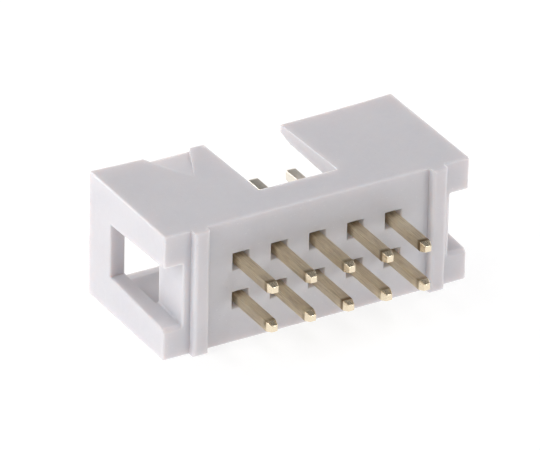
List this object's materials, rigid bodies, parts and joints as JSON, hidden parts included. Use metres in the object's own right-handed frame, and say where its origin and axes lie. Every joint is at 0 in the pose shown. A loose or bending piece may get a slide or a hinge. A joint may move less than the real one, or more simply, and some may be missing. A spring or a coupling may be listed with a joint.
{
  "type": "box header",
  "caption": "Straight box header for a ribbon-cable plug: square contacts in a light grey moulded open box with a keying slot and end windows.",
  "frame": {"origin": "middle of the contact grid, in the plane where the stand-off ribs meet the circuit board", "axes": "+X along the header, +Y along the contacts the way the plug leaves, +Z out of the long wall with the keying slot; the solder tails point to -Y and the header lies on its other long wall"},
  "size_m": [0.0204, 0.0129, 0.0082],
  "materials": {
    "moulded_plastic": "fine satin, light grey",
    "plated_contact": "thin gold plating, satin"
  },
  "bodies": {
    "root": {"housing": "moulded_plastic", "contact_1": "plated_contact", "contact_2": "plated_contact", "contact_3": "plated_contact", "contact_4": "plated_contact", "contact_5": "plated_contact", "contact_6": "plated_contact", "contact_7": "plated_contact", "contact_8": "plated_contact", "contact_9": "plated_contact", "contact_10": "plated_contact"}
  },
  "joints": []
}
